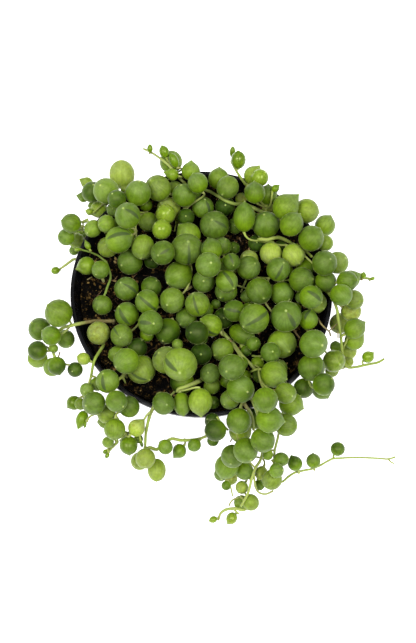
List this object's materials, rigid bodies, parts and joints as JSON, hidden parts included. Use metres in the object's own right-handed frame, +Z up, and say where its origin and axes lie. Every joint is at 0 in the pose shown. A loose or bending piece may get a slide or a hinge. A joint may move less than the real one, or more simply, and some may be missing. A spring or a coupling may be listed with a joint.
{
  "type": "potted string of pearls",
  "caption": "Trailing succulent with round pointed pearl leaves on thin stems, in a thin tapered black plastic nursery pot of peat.",
  "frame": {"origin": "centre of the pot's flat underside, on the surface that it stands on", "axes": "+Z up along the pot's axis; -Y toward the side where the longest stems trail down, +X to the right seen from there"},
  "size_m": [0.1515, 0.152, 0.1028],
  "materials": {
    "plastic": "thin black moulded plastic with a soft sheen",
    "peat": "moist dark peat with bark bits and fibres",
    "pearl": "waxy mid green succulent leaf, faintly translucent",
    "stem": "smooth pale yellow-green stem"
  },
  "bodies": {
    "root": {"pot": "plastic", "soil": "peat", "strand_01": "pearl", "strand_02": "pearl", "strand_03": "pearl", "strand_04": "pearl", "strand_05": "pearl", "strand_06": "pearl", "strand_07": "pearl", "strand_08": "pearl", "strand_09": "pearl", "strand_10": "pearl", "strand_11": "pearl", "strand_12": "pearl", "strand_13": "pearl", "strand_14": "pearl", "strand_15": "pearl", "strand_16": "pearl", "strand_17": "pearl", "strand_18": "pearl", "strand_19": "pearl", "strand_20": "pearl", "strand_21": "pearl", "strand_22": "pearl", "strand_23": "pearl", "strand_24": "pearl", "strand_25": "pearl", "strand_26": "pearl", "strand_27": "pearl", "strand_28": "pearl", "strand_29": "pearl", "strand_30": "pearl", "strand_31": "pearl", "strand_32": "pearl", "strand_33": "pearl", "strand_34": "pearl", "strand_35": "pearl", "strand_36": "pearl", "strand_37": "pearl", "strand_38": "pearl", "strand_39": "pearl", "strand_40": "pearl"}
  },
  "joints": []
}
